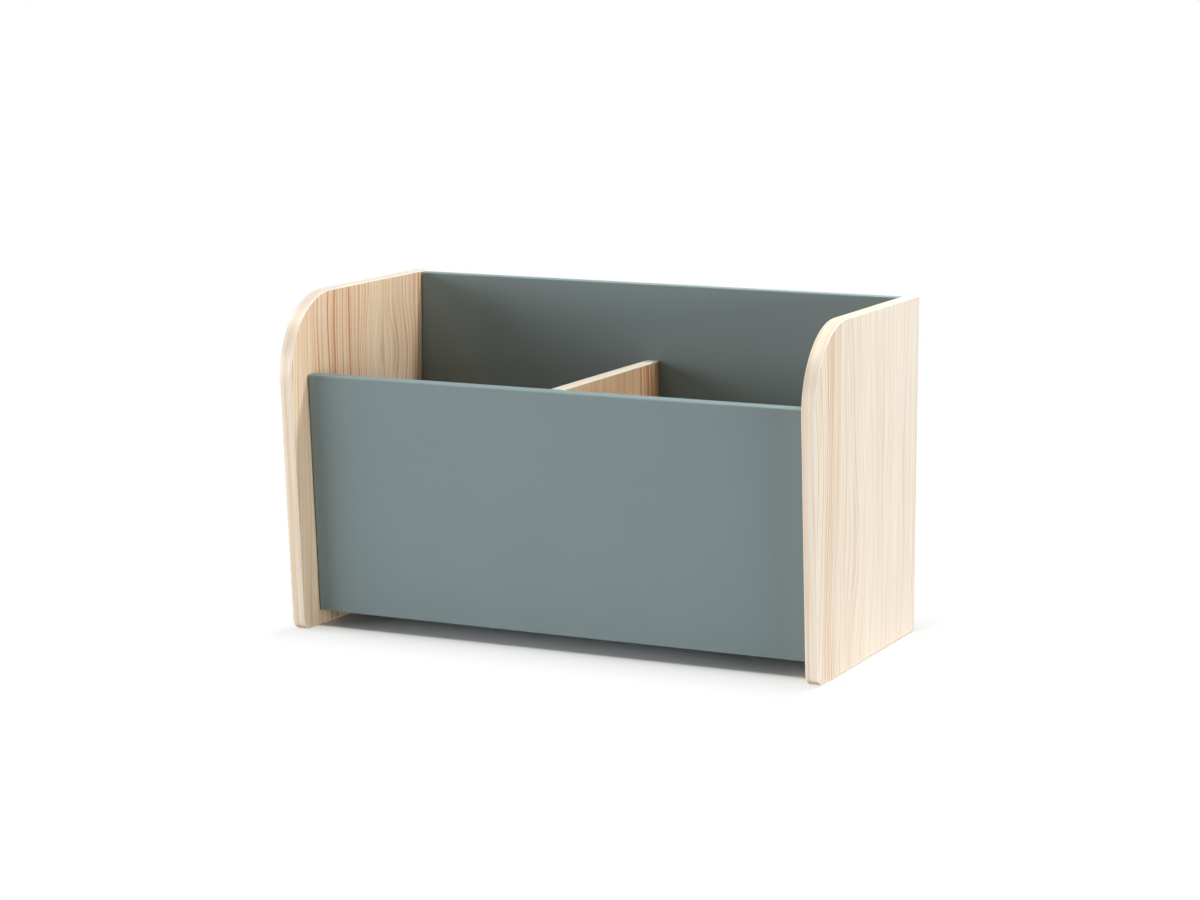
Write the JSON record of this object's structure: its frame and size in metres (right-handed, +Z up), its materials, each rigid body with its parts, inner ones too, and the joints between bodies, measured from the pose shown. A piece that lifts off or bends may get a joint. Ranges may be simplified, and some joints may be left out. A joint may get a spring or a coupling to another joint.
{
  "type": "toy chest",
  "caption": "Open-topped toy chest with a divider: decor sides with a sloped, rounded front edge, a leaning front panel and a taller back, joined by cam locks and dowels.",
  "frame": {"origin": "on the floor, under the middle of the chest's box", "axes": "+X along the width, to the right of someone facing the front; the front faces -Y; +Z up"},
  "size_m": [0.8, 0.395, 0.478],
  "materials": {
    "decor_board": "chipboard faced with pale larch decor melamine, satin",
    "decor_band": "ABS edging in the same larch decor, satin",
    "green_board": "chipboard faced with grey-green melamine, matt",
    "green_band": "grey-green ABS edging, matt",
    "cam_lock": "zinc die casting, dull",
    "cam_bolt": "zinc plated steel",
    "dowel": "bare beech"
  },
  "bodies": {
    "root": {"left_side_panel": "decor_board", "right_side_panel": "decor_board", "divider_panel": "decor_board", "bottom_panel": "green_board", "front_panel": "green_board", "back_panel": "green_board", "left_side_wrap_band": "decor_band", "left_side_back_band": "decor_band", "left_side_foot_band": "decor_band", "right_side_wrap_band": "decor_band", "right_side_back_band": "decor_band", "right_side_foot_band": "decor_band", "divider_top_band": "decor_band", "front_panel_top_band": "green_band", "front_panel_bottom_band": "green_band", "back_panel_top_band": "green_band", "back_panel_bottom_band": "green_band", "front_cam_lock_left_low": "cam_lock", "front_cam_lock_left_high": "cam_lock", "front_cam_lock_right_low": "cam_lock", "front_cam_lock_right_high": "cam_lock", "back_cam_lock_left_low": "cam_lock", "back_cam_lock_left_high": "cam_lock", "back_cam_lock_right_low": "cam_lock", "back_cam_lock_right_high": "cam_lock", "bottom_cam_lock_left_front": "cam_lock", "bottom_cam_lock_left_rear": "cam_lock", "bottom_cam_lock_right_front": "cam_lock", "bottom_cam_lock_right_rear": "cam_lock", "front_cam_bolt_left_low": "cam_bolt", "front_cam_bolt_left_high": "cam_bolt", "front_cam_bolt_right_low": "cam_bolt", "front_cam_bolt_right_high": "cam_bolt", "back_cam_bolt_left_low": "cam_bolt", "back_cam_bolt_left_high": "cam_bolt", "back_cam_bolt_right_low": "cam_bolt", "back_cam_bolt_right_high": "cam_bolt", "bottom_cam_bolt_left_front": "cam_bolt", "bottom_cam_bolt_left_rear": "cam_bolt", "bottom_cam_bolt_right_front": "cam_bolt", "bottom_cam_bolt_right_rear": "cam_bolt", "front_dowel_left": "dowel", "front_dowel_right": "dowel", "back_dowel_left": "dowel", "back_dowel_right": "dowel", "bottom_dowel_left": "dowel", "bottom_dowel_right": "dowel", "divider_front_dowel_low": "dowel", "divider_front_dowel_high": "dowel", "divider_back_dowel_low": "dowel", "divider_back_dowel_high": "dowel", "divider_bottom_dowel_front": "dowel", "divider_bottom_dowel_rear": "dowel", "bottom_front_dowel_left": "dowel", "bottom_front_dowel_right": "dowel", "bottom_back_dowel_left": "dowel", "bottom_back_dowel_right": "dowel"}
  },
  "joints": []
}
